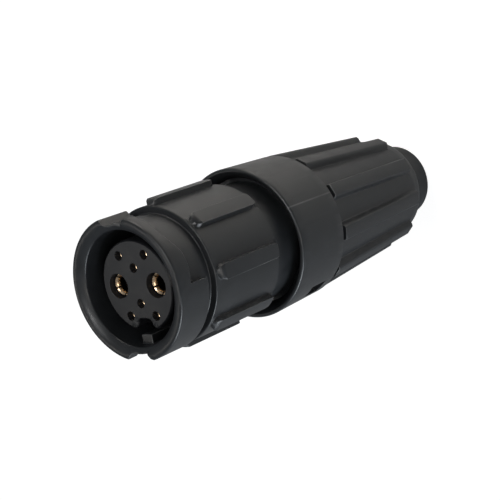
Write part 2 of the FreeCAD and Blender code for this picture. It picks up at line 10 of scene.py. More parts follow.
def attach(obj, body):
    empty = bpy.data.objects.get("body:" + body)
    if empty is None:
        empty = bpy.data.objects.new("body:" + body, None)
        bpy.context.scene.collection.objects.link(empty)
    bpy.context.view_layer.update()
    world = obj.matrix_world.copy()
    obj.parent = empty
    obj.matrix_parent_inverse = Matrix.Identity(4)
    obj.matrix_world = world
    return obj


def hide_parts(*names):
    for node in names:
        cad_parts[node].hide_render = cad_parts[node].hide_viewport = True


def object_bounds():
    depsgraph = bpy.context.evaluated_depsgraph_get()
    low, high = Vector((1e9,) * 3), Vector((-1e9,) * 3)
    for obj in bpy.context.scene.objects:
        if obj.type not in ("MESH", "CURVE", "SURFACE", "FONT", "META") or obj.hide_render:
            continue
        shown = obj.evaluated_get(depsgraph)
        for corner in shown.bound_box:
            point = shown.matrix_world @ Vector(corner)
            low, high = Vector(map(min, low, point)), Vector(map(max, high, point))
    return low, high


bl_info = {
    "name": "Circular plug",
    "version": (1, 0, 0),
    "blender": (4, 5, 0),
    "location": "3D View > Sidebar > Plug",
    "description": "Dresses the frame of a round cable plug and sets up its stage",
    "category": "Object",
}

MM = 0.001
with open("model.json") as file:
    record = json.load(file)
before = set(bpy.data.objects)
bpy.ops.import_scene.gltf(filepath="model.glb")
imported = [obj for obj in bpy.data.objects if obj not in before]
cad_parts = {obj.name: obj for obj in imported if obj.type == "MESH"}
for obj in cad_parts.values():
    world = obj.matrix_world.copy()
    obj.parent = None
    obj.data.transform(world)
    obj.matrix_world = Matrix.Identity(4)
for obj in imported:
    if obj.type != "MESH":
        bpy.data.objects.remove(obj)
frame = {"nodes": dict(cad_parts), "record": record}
NODES = frame["nodes"]
CAD_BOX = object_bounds()
PLUG_LENGTH = CAD_BOX[1].z
BODY = "root"

# Points of the pieces that the finishes read
# Edge mask for rubbed wear and painted highlight
EDGE_WEAR_AND_HIGHLIGHT = "worn_edge"
BORE = "in_bore"

# Fineness of the merged and rounded meshes
SEAM = 0.002 * MM
SHORT = 0.06 * MM
FLAT = math.radians(0.2)
ROUNDED = math.radians(50)
ROUNDING_STEPS = 2
ROOM_SHARE = 0.3
PULLED_SHARE = 1 / 3
CREASED = math.radians(40)
FINELY_CREASED = math.radians(20)
# Convex edges that turn more than this get rubbed wear and painted highlight
WEAR_AND_HIGHLIGHT_FROM = math.radians(25)
FULL_WEAR_AND_HIGHLIGHT = math.radians(45)

# Socket contacts
TIP_STEPS = 5
LEAD_SLOPE = 1.0
POWER_FINGERS = {"count": 5, "first_slot": 34.0, "slot": 0.3 * MM, "length": 7.0 * MM}
SIGNAL_FINGERS = {"count": 2, "first_slot": 0.0, "slot": 0.2 * MM, "length": 7.0 * MM}
POWER_NODES = sorted(name for name in NODES if name.startswith("power_socket_"))
SIGNAL_NODES = sorted(name for name in NODES if name.startswith("signal_socket_"))
SLOT_OF = {row["node"]: row["material_slot"] for row in frame["record"]["subparts"]}

# Finishes
# Painted shade deep in the contacts' bores, where little light gets in
BORE_PAINTED_SHADE = (0.06, 0.032, 0.018)
CAGE_COLOUR = (0.08, 0.08, 0.085)
RUBBER_COLOUR = (0.02, 0.02, 0.021)
CLIP_COLOUR = (0.62, 0.62, 0.6)
PARTING_ANGLE = math.radians(64)
PARTING_WIDTH = 0.2 * MM
NOISE_RANGE = (0.3, 0.7)
MIX_FIRST, MIX_SECOND, MIX_RESULT = 6, 7, 2

# Lamps and floor
WHITE = (1.0, 1.0, 1.0)
WARM = (1.0, 0.95, 0.88)
COOL = (0.88, 0.94, 1.0)
MIDDLE = Vector((0.0, 0.0, PLUG_LENGTH / 2))
TOP = Vector((0.0, 0.0, PLUG_LENGTH))
POOL = Vector((0.02, 0.12, 0.0))
ALL_ROUND = 180
# Name, point looked at, place of the lamp from there, size, tint and beam of each lamp
LAMPS = (
    ("pool", POOL, (0.0, 0.05, 0.3), 0.1, WARM, 40),
    ("key", MIDDLE, (-0.04, 0.32, 0.03), 0.16, WARM, ALL_ROUND),
    ("front", MIDDLE, (0.05, 0.12, 0.45), 0.12, WHITE, ALL_ROUND),
    ("glint", TOP, (-0.22, -0.05, 0.28), 0.07, WARM, ALL_ROUND),
    ("near", TOP, (0.27, -0.04, 0.23), 0.14, WARM, ALL_ROUND),
    ("fill", MIDDLE, (0.2, -0.34, 0.04), 0.3, COOL, ALL_ROUND),
)
FLOOR_HALF = 3.0
FLOOR_SEEN = (0.86, 0.86, 0.86)
FLOOR_LIT = (0.4, 0.4, 0.4)
FLOOR_ROUGHNESS = 0.9
GLOW_STRENGTH = 1.4
GLOW_SHARE = 0.6


# Settings a user would change

class PlugFinish(bpy.types.PropertyGroup):
    """Colours and surface of the plug."""

    shell_colour: bpy.props.FloatVectorProperty(
        name="Shell colour", description="Colour of the moulded shell, band and nut",
        default=(0.0135, 0.0148, 0.0165), size=3, min=0.0, max=1.0, subtype="COLOR",
    )
    insert_colour: bpy.props.FloatVectorProperty(
        name="Insert colour", description="Colour of the contact block",
        default=(0.0115, 0.0122, 0.0145), size=3, min=0.0, max=1.0, subtype="COLOR",
    )
    # Rubbed wear on edges, made lighter still as a painted highlight along the edges
    worn_and_highlight_colour: bpy.props.FloatVectorProperty(
        name="Rubbed colour", description="Colour of rubbed edges of the plastic",
        default=(0.16, 0.16, 0.155), size=3, min=0.0, max=1.0, subtype="COLOR",
    )
    contact_colour: bpy.props.FloatVectorProperty(
        name="Contact colour", description="Colour of the plated contacts",
        default=(1.0, 0.73, 0.47), size=3, min=0.0, max=1.0, subtype="COLOR",
    )
    shell_roughness: bpy.props.FloatProperty(
        name="Shell roughness", description="How matt the moulded shell is",
        default=0.38, min=0.05, max=1.0, subtype="FACTOR",
    )
    grain_size: bpy.props.FloatProperty(
        name="Grain size", description="Width of one grain of the moulded surface",
        default=0.00022, min=0.00002, max=0.002, unit="LENGTH",
    )


class PlugSizes(bpy.types.PropertyGroup):
    """Sizes of the details that the scene adds."""

    edge_round: bpy.props.FloatProperty(
        name="Edge round", description="Width of the rounding on moulded edges",
        default=0.0002, min=0.0, max=0.001, unit="LENGTH",
    )
    insert_round: bpy.props.FloatProperty(
        name="Insert round", description="Width of the rounding on the contact block",
        default=0.0001, min=0.0, max=0.001, unit="LENGTH",
    )
    tip_round: bpy.props.FloatProperty(
        name="Tip round", description="Outer rounding of a spring finger's tip, as a share of its wall",
        default=0.15, min=0.05, max=0.4, subtype="FACTOR",
    )
    lead_in: bpy.props.FloatProperty(
        name="Lead-in", description="Width of the cone in a socket's mouth, as a share of its wall",
        default=0.75, min=0.05, max=0.8, subtype="FACTOR",
    )
    finger_steps: bpy.props.IntProperty(
        name="Finger steps", description="Facets across one spring finger of a contact",
        default=12, min=4, max=48,
    )


class PlugStage(bpy.types.PropertyGroup):
    """Camera, lamps and floor."""

    camera_place: bpy.props.FloatVectorProperty(
        name="Camera place", description="Where the camera stands",
        default=(0.143149, 0.036508, 0.21049), size=3, unit="LENGTH", subtype="XYZ",
    )
    camera_aim: bpy.props.FloatVectorProperty(
        name="Camera aim", description="Point that the camera looks at",
        default=(0.0004, -0.00143, 0.04779), size=3, unit="LENGTH", subtype="XYZ",
    )
    camera_up: bpy.props.FloatVectorProperty(
        name="Camera up", description="Direction that is up in the picture",
        default=(0.0337, 0.9664, -0.255), size=3, subtype="DIRECTION",
    )
    lens: bpy.props.FloatProperty(
        name="Lens", description="Focal length in millimetres on a 36 mm sensor",
        default=93.6, min=10.0, max=400.0,
    )
    sky_strength: bpy.props.FloatProperty(
        name="Sky strength", description="Strength of the even light from all round",
        default=0.22, min=0.0, max=3.0,
    )
    pool_power: bpy.props.FloatProperty(
        name="Pool power", description="Power of the lamp that lights the floor beside the plug",
        default=0.18, min=0.0, max=100.0, unit="POWER",
    )
    key_power: bpy.props.FloatProperty(
        name="Key power", description="Power of the soft lamp on the plug's keyed side",
        default=0.35, min=0.0, max=100.0, unit="POWER",
    )
    front_power: bpy.props.FloatProperty(
        name="Front power", description="Power of the soft lamp over the mating face",
        default=0.5, min=0.0, max=100.0, unit="POWER",
    )
    glint_power: bpy.props.FloatProperty(
        name="Glint power", description="Power of the small lamp that the contacts reflect",
        default=0.08, min=0.0, max=100.0, unit="POWER",
    )
    near_power: bpy.props.FloatProperty(
        name="Near power", description="Power of the small lamp beside the camera",
        default=0.22, min=0.0, max=100.0, unit="POWER",
    )
    fill_power: bpy.props.FloatProperty(
        name="Fill power", description="Power of the soft lamp beside the camera",
        default=1.8, min=0.0, max=100.0, unit="POWER",
    )


# Mesh helpers

def linked(mesh, name):
    """New object in the scene for a mesh."""
    piece = bpy.data.objects.new(name, mesh)
    bpy.context.scene.collection.objects.link(piece)
    return piece


def plain_mesh(piece):
    """Replaces an object's mesh by its evaluated one and drops its modifiers."""
    graph = bpy.context.evaluated_depsgraph_get()
    ready = piece.evaluated_get(graph)
    mesh = bpy.data.meshes.new_from_object(ready, preserve_all_data_layers=True, depsgraph=graph)
    piece.modifiers.clear()
    piece.data = mesh
    return mesh


def mark_worn_and_highlit_edges(mesh, width):
    """Stores on each point of a rounded edge how convex it is, from 0 to 1, and 0 beside wider faces;
    edges get wear and painted highlight from it.
    """
    shape = bmesh.new()
    shape.from_mesh(mesh)
    widths = [face.calc_area() / max(edge.calc_length() for edge in face.edges) for face in shape.faces]
    values = []
    for point in shape.verts:
        turn = max((edge.calc_face_angle_signed(0.0) for edge in point.link_edges), default=0.0)
        widest = max((widths[face.index] for face in point.link_faces), default=0.0)
        share = (turn - WEAR_AND_HIGHLIGHT_FROM) / (FULL_WEAR_AND_HIGHLIGHT - WEAR_AND_HIGHLIGHT_FROM)
        values.append(min(1.0, max(0.0, share)) if widest < width else 0.0)
    shape.free()
    layer = mesh.attributes.new(EDGE_WEAR_AND_HIGHLIGHT, "FLOAT", "POINT")
    layer.data.foreach_set("value", values)


def merged_shape(node):
    """Copy of a frame node's mesh with its seams merged and its flat faces in few convex parts."""
    shape = bmesh.new()
    shape.from_mesh(NODES[node].data)
    bmesh.ops.remove_doubles(shape, verts=shape.verts, dist=SEAM)
    bmesh.ops.dissolve_limit(shape, angle_limit=FLAT, verts=shape.verts, edges=shape.edges)
    bmesh.ops.connect_verts_concave(shape, faces=shape.faces)
    return shape


def weigh_edges(shape, width):
    """Marks the edges to round, less where short edges leave no room for the full width."""
    layer = shape.edges.layers.float.new("bevel_weight_edge")
    for edge in shape.edges:
        if len(edge.link_faces) == 2 and edge.calc_face_angle(0.0) > ROUNDED:
            room = min(near.calc_length() for point in edge.verts for near in point.link_edges)
            edge[layer] = min(1.0, ROOM_SHARE * room / width)


def pull_back(mesh, surface, reach):
    """Moves points that lie further than a reach from a surface back onto it."""
    for point in mesh.vertices:
        near, _normal, _face, distance = surface.find_nearest(point.co)
        if distance > reach:
            point.co = near


def rounded_copy(node, width, crease=CREASED):
    """Piece that stands for a frame node, with its edges rounded."""
    shape = merged_shape(node)
    surface = BVHTree.FromBMesh(shape)
    bmesh.ops.dissolve_degenerate(shape, dist=SHORT, edges=shape.edges)
    weigh_edges(shape, width)
    mesh = bpy.data.meshes.new(node + "_piece")
    shape.to_mesh(mesh)
    shape.free()
    piece = linked(mesh, node + "_piece")
    bevel = piece.modifiers.new("edges", "BEVEL")
    bevel.width = width
    bevel.segments = ROUNDING_STEPS
    bevel.limit_method = "WEIGHT"
    bevel.use_clamp_overlap = False
    bevel.face_strength_mode = "FSTR_ALL"
    mesh = plain_mesh(piece)
    pull_back(mesh, surface, width * PULLED_SHARE)
    mark_worn_and_highlit_edges(mesh, width)
    smooth(mesh, crease)
    even = piece.modifiers.new("even_normals", "WEIGHTED_NORMAL")
    even.keep_sharp = True
    even.use_face_influence = True
    plain_mesh(piece)
    finish_piece(piece, node)


def smooth(mesh, crease):
    """Shades a mesh smooth but for the edges that turn more than an angle."""
    mesh.shade_smooth()
    mesh.set_sharp_from_angle(angle=crease)


def finish_piece(piece, node):
    """Puts a piece on the body in place of a frame node, with that node's finish."""
    slot = SLOT_OF[node]
    piece.data.materials.clear()
    piece.data.materials.append(material(slot))
    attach(piece, BODY)
    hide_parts(node)


def turned_part(shape, profile, start, sweep, steps):
    """Adds a closed profile of (radius, height) points, turned part of the way round, to a mesh."""
    loops = []
    for row in range(steps + 1):
        turn = start + sweep * row / steps
        loops.append([shape.verts.new((r * math.sin(turn), r * math.cos(turn), z)) for r, z in profile])
    for near, far in zip(loops, loops[1:]):
        for index in range(len(profile)):
            after = (index + 1) % len(profile)
            shape.faces.new((near[index], near[after], far[after], far[index]))
    shape.faces.new(loops[0])
    shape.faces.new(list(reversed(loops[-1])))


def mesh_of(shape, name):
    """Finishes a hand-made shape as a mesh with its faces outwards."""
    bmesh.ops.remove_doubles(shape, verts=shape.verts, dist=1e-7)
    bmesh.ops.recalc_face_normals(shape, faces=shape.faces)
    mesh = bpy.data.meshes.new(name)
    shape.to_mesh(mesh)
    shape.free()
    return mesh


# Geometry Nodes

RING_INPUTS = {
    "Geometry": "NodeSocketGeometry",
    "Piece": "NodeSocketObject",
    "Count": "NodeSocketInt",
    "First Angle": "NodeSocketFloat",
    "Axis Place": "NodeSocketVector",
    "Material": "NodeSocketMaterial",
}


def copy_turns(tree, start):
    """Turn of each copy: its share of a full turn, on from the first angle."""
    index = tree.nodes.new("GeometryNodeInputIndex")
    share = math_node(tree, "DIVIDE", index.outputs[0], start.outputs["Count"])
    first = math_node(tree, "MULTIPLY", start.outputs["First Angle"], -1.0)
    spin = tree.nodes.new("ShaderNodeCombineXYZ")
    tree.links.new(math_node(tree, "MULTIPLY_ADD", share, -2 * math.pi, first), spin.inputs["Z"])
    return spin.outputs[0]


def ring_tree():
    """Geometry group that sets copies of a piece round an upright axis."""
    tree = bpy.data.node_groups.get("copies_round_axis")
    if tree:
        return tree
    tree = bpy.data.node_groups.new("copies_round_axis", "GeometryNodeTree")
    tree.is_modifier = True
    for name, kind in RING_INPUTS.items():
        tree.interface.new_socket(name, in_out="INPUT", socket_type=kind)
    tree.interface.new_socket("Geometry", in_out="OUTPUT", socket_type="NodeSocketGeometry")
    start = tree.nodes.new("NodeGroupInput")
    points = tree.nodes.new("GeometryNodePoints")
    info = tree.nodes.new("GeometryNodeObjectInfo")
    info.transform_space = "ORIGINAL"
    copies = tree.nodes.new("GeometryNodeInstanceOnPoints")
    join = tree.nodes.new("GeometryNodeJoinGeometry")
    real = tree.nodes.new("GeometryNodeRealizeInstances")
    paint = tree.nodes.new("GeometryNodeSetMaterial")
    end = tree.nodes.new("NodeGroupOutput")
    links = (
        (start.outputs["Count"], points.inputs["Count"]),
        (start.outputs["Axis Place"], points.inputs["Position"]),
        (start.outputs["Piece"], info.inputs["Object"]),
        (points.outputs[0], copies.inputs["Points"]),
        (info.outputs["Geometry"], copies.inputs["Instance"]),
        (copy_turns(tree, start), copies.inputs["Rotation"]),
        (copies.outputs[0], join.inputs[0]),
        (start.outputs["Geometry"], join.inputs[0]),
        (join.outputs[0], real.inputs[0]),
        (real.outputs[0], paint.inputs["Geometry"]),
        (start.outputs["Material"], paint.inputs["Material"]),
        (paint.outputs[0], end.inputs[0]),
    )
    for source, target in links:
        tree.links.new(source, target)
    return tree


def ring_of_copies(carrier, pattern, count, first, place, finish):
    """Joins a ring of copies of a pattern object to a carrier, as one plain mesh."""
    tree = ring_tree()
    rule = carrier.modifiers.new("ring", "NODES")
    rule.node_group = tree
    sockets = {item.name: item.identifier for item in tree.interface.items_tree if item.in_out == "INPUT"}
    rule[sockets["Piece"]] = pattern
    rule[sockets["Count"]] = count
    rule[sockets["First Angle"]] = first
    rule[sockets["Axis Place"]] = place
    rule[sockets["Material"]] = finish
    return plain_mesh(carrier)


# Socket contacts

def mouth_of(node):
    """Axis place, top, and inner and outer radius of a socket contact's mouth."""
    points = [point.co for point in NODES[node].data.vertices]
    centre_x = (min(p.x for p in points) + max(p.x for p in points)) / 2
    centre_y = (min(p.y for p in points) + max(p.y for p in points)) / 2
    top = max(p.z for p in points)
    radii = [math.hypot(p.x - centre_x, p.y - centre_y) for p in points if p.z > top - SEAM]
    return (centre_x, centre_y), top, min(radii), max(radii)


def tip_profile(inner, outer, bottom, top):
    """Section of a finger as (radius, height) points, with a lead-in cone and a rounded tip."""
    sizes = bpy.context.scene.plug_sizes
    wall = outer - inner
    cone = sizes.lead_in * wall
    nose = sizes.tip_round * wall
    profile = [(inner, bottom), (outer, bottom)]
    for step in range(TIP_STEPS + 1):
        turn = math.pi / 2 * step / TIP_STEPS
        profile.append((outer - nose + nose * math.cos(turn), top - nose + nose * math.sin(turn)))
    profile.append((inner + cone, top))
    profile.append((inner, top - cone * LEAD_SLOPE))
    profile.append((inner, top - cone * LEAD_SLOPE - wall))
    return profile


def mark_bore(mesh, centre, inner, top, wall):
    """Stores on each point whether it lies in the bore, behind the lead-in cone, where shade is painted.
    """
    depth = top - LEAD_SLOPE * wall
    values = []
    for point in mesh.vertices:
        radius = math.hypot(point.co.x - centre[0], point.co.y - centre[1])
        values.append(1.0 if radius < inner + SEAM and point.co.z < depth else 0.0)
    layer = mesh.attributes.new(BORE, "FLOAT", "POINT")
    layer.data.foreach_set("value", values)


def stem_of(node, cut):
    """Mesh of a socket contact below its fingers, closed where it is cut."""
    shape = merged_shape(node)
    parts = shape.verts[:] + shape.edges[:] + shape.faces[:]
    plane = {"plane_co": (0, 0, cut), "plane_no": (0, 0, 1)}
    bmesh.ops.bisect_plane(shape, geom=parts, clear_outer=True, **plane)
    rim = [edge for edge in shape.edges if edge.is_boundary]
    bmesh.ops.bridge_loops(shape, edges=rim)
    return mesh_of(shape, node + "_piece")


def socket_contact(node, fingers):
    """Socket contact as its stem and a ring of rounded spring fingers."""
    sizes = bpy.context.scene.plug_sizes
    centre, top, inner, outer = mouth_of(node)
    bottom = top - fingers["length"]
    share = 2 * math.pi / fingers["count"]
    gap = fingers["slot"] / (inner + outer)
    shape = bmesh.new()
    profile = tip_profile(inner, outer, bottom - SEAM, top)
    turned_part(shape, profile, gap, share - 2 * gap, sizes.finger_steps)
    finger = linked(mesh_of(shape, "finger"), "finger")
    stem = linked(stem_of(node, bottom), node + "_piece")
    first = math.radians(fingers["first_slot"])
    ring_of_copies(stem, finger, fingers["count"], first, (*centre, 0.0), material(SLOT_OF[node]))
    bpy.data.objects.remove(finger)
    mark_bore(stem.data, centre, inner, top, outer - inner)
    smooth(stem.data, CREASED)
    finish_piece(stem, node)


# Shared shader effects

def shader_group(name, inputs, outputs):
    """Empty shader group with named sockets, and its input and output nodes."""
    group = bpy.data.node_groups.new(name, "ShaderNodeTree")
    for label, value in inputs.items():
        socket = group.interface.new_socket(label, in_out="INPUT", socket_type="NodeSocketFloat")
        socket.default_value = value
    for label in outputs:
        group.interface.new_socket(label, in_out="OUTPUT", socket_type="NodeSocketFloat")
    return group, group.nodes.new("NodeGroupInput"), group.nodes.new("NodeGroupOutput")


def math_node(tree, operation, *values):
    """Math node, with numbers or sockets as its inputs."""
    node = tree.nodes.new("ShaderNodeMath")
    node.operation = operation
    for index, value in enumerate(values):
        if isinstance(value, (int, float)):
            node.inputs[index].default_value = value
        else:
            tree.links.new(value, node.inputs[index])
    return node.outputs[0]


def noise(tree, size, detail):
    """Noise over the piece whose patches have the size of a socket."""
    place = tree.nodes.new("ShaderNodeTexCoord")
    node = tree.nodes.new("ShaderNodeTexNoise")
    node.inputs["Detail"].default_value = detail
    tree.links.new(place.outputs["Object"], node.inputs["Vector"])
    tree.links.new(math_node(tree, "DIVIDE", 1.0, size), node.inputs["Scale"])
    return node.outputs["Fac"]


def grain_group():
    """Moulded grain and broad mottling from object coordinates."""
    group = bpy.data.node_groups.get("moulded_grain")
    if group:
        return group
    sizes = {"Grain Size": 0.0002, "Mottle Size": 0.004}
    group, start, end = shader_group("moulded_grain", sizes, ("Grain", "Mottle"))
    for label, detail in (("Grain", 3.0), ("Mottle", 4.0)):
        group.links.new(noise(group, start.outputs[label + " Size"], detail), end.inputs[label])
    return group


def wear_and_highlight_group():
    """Mask of rubbed edges and painted edge highlight, broken up by noise."""
    group = bpy.data.node_groups.get("rubbed_edges")
    if group:
        return group
    group, start, end = shader_group("rubbed_edges", {"Amount": 0.5, "Patch Size": 0.002}, ("Mask",))
    edge = group.nodes.new("ShaderNodeAttribute")
    edge.attribute_name = EDGE_WEAR_AND_HIGHLIGHT
    patches = noise(group, start.outputs["Patch Size"], 5.0)
    broken = math_node(group, "MULTIPLY", edge.outputs["Fac"], patches)
    mask = math_node(group, "MULTIPLY", broken, start.outputs["Amount"])
    group.links.new(math_node(group, "MINIMUM", mask, 1.0), end.inputs["Mask"])
    return group


def parting_group():
    """Mask of the fine line that a split mould leaves along the axis."""
    group = bpy.data.node_groups.get("parting_line")
    if group:
        return group
    group, start, end = shader_group("parting_line", {"Angle": 0.0, "Width": 0.0001}, ("Mask",))
    place = group.nodes.new("ShaderNodeTexCoord")
    parts = group.nodes.new("ShaderNodeSeparateXYZ")
    group.links.new(place.outputs["Object"], parts.inputs[0])
    cosine = math_node(group, "COSINE", start.outputs["Angle"])
    sine = math_node(group, "SINE", start.outputs["Angle"])
    across = math_node(group, "MULTIPLY", parts.outputs["X"], cosine)
    along = math_node(group, "MULTIPLY", parts.outputs["Y"], sine)
    offset = math_node(group, "ABSOLUTE", math_node(group, "SUBTRACT", across, along))
    near = math_node(group, "SUBTRACT", 1.0, math_node(group, "DIVIDE", offset, start.outputs["Width"]))
    group.links.new(math_node(group, "MAXIMUM", near, 0.0), end.inputs["Mask"])
    return group


def use_group(tree, group, **values):
    """Places a shader group in a material with its own values."""
    node = tree.nodes.new("ShaderNodeGroup")
    node.node_tree = group
    for name, value in values.items():
        node.inputs[name.replace("_", " ")].default_value = value
    return node


def mix_colour(tree, factor, first, second):
    """Mixes two colours, given as sockets or as values."""
    node = tree.nodes.new("ShaderNodeMix")
    node.data_type = "RGBA"
    sockets = (node.inputs["Factor"], node.inputs[MIX_FIRST], node.inputs[MIX_SECOND])
    for socket, value in zip(sockets, (factor, first, second)):
        if isinstance(value, (int, float)):
            socket.default_value = value
        elif isinstance(value, bpy.types.NodeSocket):
            tree.links.new(value, socket)
        else:
            socket.default_value = (*value, 1.0)
    return node.outputs[MIX_RESULT]


def spread(tree, value, low, high):
    """Maps a noise value from its usual range to a range of its own."""
    node = tree.nodes.new("ShaderNodeMapRange")
    node.inputs["From Min"].default_value, node.inputs["From Max"].default_value = NOISE_RANGE
    node.inputs["To Min"].default_value = low
    node.inputs["To Max"].default_value = high
    tree.links.new(value, node.inputs["Value"])
    return node.outputs["Result"]


def shade(colour, share):
    """Colour made darker or lighter by a share."""
    return [channel * share for channel in colour]


def mottled(tree, grain, first, second):
    """Colour that drifts between two shades over the piece."""
    return mix_colour(tree, spread(tree, grain.outputs["Mottle"], 0.0, 1.0), first, second)


def bump(tree, height, strength, distance):
    """Bump from a height value."""
    node = tree.nodes.new("ShaderNodeBump")
    node.inputs["Strength"].default_value = strength
    node.inputs["Distance"].default_value = distance
    tree.links.new(height, node.inputs["Height"])
    return node.outputs["Normal"]


def new_material(name):
    """Material with an empty Principled surface."""
    made = bpy.data.materials.new(name)
    made.use_nodes = True
    return made, made.node_tree, made.node_tree.nodes["Principled BSDF"]


def moulded_plastic(name, colour, roughness, grain_depth, wear_and_highlight, parting=0.0):
    """Moulded plastic with grain, mottling, edges lightened as rubbed wear and painted highlight and,
    where asked for, a parting line.
    """
    finish = bpy.context.scene.plug_finish
    made, tree, surface = new_material(name)
    grain = use_group(tree, grain_group(), Grain_Size=finish.grain_size, Mottle_Size=3.5 * MM)
    rubs_and_highlights = use_group(tree, wear_and_highlight_group(), Amount=wear_and_highlight, Patch_Size=1.5 * MM).outputs["Mask"]
    if parting:
        line = use_group(tree, parting_group(), Angle=PARTING_ANGLE, Width=PARTING_WIDTH)
        broken = math_node(tree, "MULTIPLY", line.outputs["Mask"], grain.outputs["Mottle"])
        rubs_and_highlights = math_node(tree, "MAXIMUM", rubs_and_highlights, math_node(tree, "MULTIPLY", broken, parting))
    tone = mottled(tree, grain, shade(colour, 0.86), shade(colour, 1.14))
    # The lighter colour on edges is rubbed wear and painted highlight; the parting line takes it too
    tree.links.new(mix_colour(tree, rubs_and_highlights, tone, finish.worn_and_highlight_colour), surface.inputs["Base Color"])
    rough = spread(tree, grain.outputs["Mottle"], roughness - 0.05, roughness + 0.06)
    tree.links.new(rough, surface.inputs["Roughness"])
    tree.links.new(bump(tree, grain.outputs["Grain"], 0.35, grain_depth), surface.inputs["Normal"])
    return made


def soft_rubber(name, colour):
    """Matt rubber with a fine tooth."""
    made, tree, surface = new_material(name)
    grain = use_group(tree, grain_group(), Grain_Size=0.12 * MM, Mottle_Size=2.0 * MM)
    tree.links.new(mottled(tree, grain, shade(colour, 0.7), colour), surface.inputs["Base Color"])
    tree.links.new(spread(tree, grain.outputs["Grain"], 0.65, 0.85), surface.inputs["Roughness"])
    tree.links.new(bump(tree, grain.outputs["Grain"], 0.5, 0.01 * MM), surface.inputs["Normal"])
    return made


def turning_marks(tree, ring_size):
    """Fine rings that turning leaves across the axis."""
    place = tree.nodes.new("ShaderNodeTexCoord")
    rings = tree.nodes.new("ShaderNodeTexWave")
    rings.wave_type = "BANDS"
    rings.bands_direction = "Z"
    rings.inputs["Scale"].default_value = 1.0 / (ring_size * 2 * math.pi)
    rings.inputs["Distortion"].default_value = 1.5
    rings.inputs["Detail"].default_value = 3.0
    tree.links.new(place.outputs["Object"], rings.inputs["Vector"])
    return rings.outputs["Fac"]


def turned_metal(name, colour, roughness, ring_size):
    """Turned and plated metal with fine rings, and painted shade inside its bore."""
    made, tree, surface = new_material(name)
    grain = use_group(tree, grain_group(), Grain_Size=0.3 * MM, Mottle_Size=1.2 * MM)
    tone = mottled(tree, grain, shade(colour, 0.8), colour)
    bore = tree.nodes.new("ShaderNodeAttribute")
    bore.attribute_name = BORE
    # Points in the bore get the darker colour as painted shade
    tree.links.new(mix_colour(tree, bore.outputs["Fac"], tone, BORE_PAINTED_SHADE), surface.inputs["Base Color"])
    rough = spread(tree, grain.outputs["Grain"], roughness - 0.06, roughness + 0.08)
    tree.links.new(rough, surface.inputs["Roughness"])
    tree.links.new(bump(tree, turning_marks(tree, ring_size), 0.15, 0.008 * MM), surface.inputs["Normal"])
    surface.inputs["Metallic"].default_value = 1.0
    return made


def material(slot):
    """The finish of one material slot, made when it is first asked for."""
    name = slot + "_finish"
    if name in bpy.data.materials:
        return bpy.data.materials[name]
    finish = bpy.context.scene.plug_finish
    shell, insert, contact = (
        tuple(colour) for colour in (finish.shell_colour, finish.insert_colour, finish.contact_colour)
    )
    rough = finish.shell_roughness
    moulded = {"colour": shell, "roughness": rough, "grain_depth": 0.018 * MM, "wear_and_highlight": 0.9}
    plastics = {
        "shell_plastic": moulded,
        "nut_plastic": moulded,
        "body_plastic": {**moulded, "roughness": rough - 0.02, "grain_depth": 0.014 * MM, "parting": 0.8},
        "insert_plastic": {
            "colour": insert, "roughness": rough + 0.08, "grain_depth": 0.02 * MM, "wear_and_highlight": 0.5,
        },
        "cage_plastic": {
            "colour": CAGE_COLOUR, "roughness": rough + 0.1, "grain_depth": 0.014 * MM, "wear_and_highlight": 0.3,
        },
    }
    metals = {
        "contact_metal": {"colour": contact, "roughness": 0.28, "ring_size": 0.06 * MM},
        "clip_metal": {"colour": CLIP_COLOUR, "roughness": 0.3, "ring_size": 0.1 * MM},
    }
    if slot in plastics:
        return moulded_plastic(name, **plastics[slot])
    if slot in metals:
        return turned_metal(name, **metals[slot])
    return soft_rubber(name, RUBBER_COLOUR)


# Pieces

class PLUG_OT_front_shell(bpy.types.Operator):
    """Mating skirt, ribbed grip and neck with rounded edges"""

    bl_idname = "plug.front_shell"
    bl_label = "Front Shell"

    def execute(self, context):
        rounded_copy("front_shell", context.scene.plug_sizes.edge_round)
        return {"FINISHED"}


class PLUG_OT_body_sleeve(bpy.types.Operator):
    """Central band with its front recess and latch windows"""

    bl_idname = "plug.body_sleeve"
    bl_label = "Body Sleeve"

    def execute(self, context):
        rounded_copy("body_sleeve", context.scene.plug_sizes.edge_round)
        return {"FINISHED"}


class PLUG_OT_gland_nut(bpy.types.Operator):
    """Ridged clamping nut with its shoulder and end collar"""

    bl_idname = "plug.gland_nut"
    bl_label = "Gland Nut"

    def execute(self, context):
        rounded_copy("gland_nut", context.scene.plug_sizes.edge_round)
        return {"FINISHED"}


class PLUG_OT_contact_insert(bpy.types.Operator):
    """Round contact block with its keyway"""

    bl_idname = "plug.contact_insert"
    bl_label = "Contact Insert"

    def execute(self, context):
        rounded_copy("contact_insert", context.scene.plug_sizes.insert_round, FINELY_CREASED)
        return {"FINISHED"}


class PLUG_OT_power_sockets(bpy.types.Operator):
    """Large socket contacts with five rounded spring fingers"""

    bl_idname = "plug.power_sockets"
    bl_label = "Power Sockets"

    def execute(self, context):
        for node in POWER_NODES:
            socket_contact(node, POWER_FINGERS)
        return {"FINISHED"}


class PLUG_OT_signal_sockets(bpy.types.Operator):
    """Small socket contacts with two rounded spring fingers"""

    bl_idname = "plug.signal_sockets"
    bl_label = "Signal Sockets"

    def execute(self, context):
        for node in SIGNAL_NODES:
            socket_contact(node, SIGNAL_FINGERS)
        return {"FINISHED"}


class PLUG_OT_inner_pieces(bpy.types.Operator):
    """Materials of the pieces that keep the frame's own meshes"""

    bl_idname = "plug.inner_pieces"
    bl_label = "Inner Pieces"

    def execute(self, context):
        for name, node in NODES.items():
            node.data.materials.clear()
            node.data.materials.append(material(SLOT_OF[name]))
        return {"FINISHED"}


# Stage

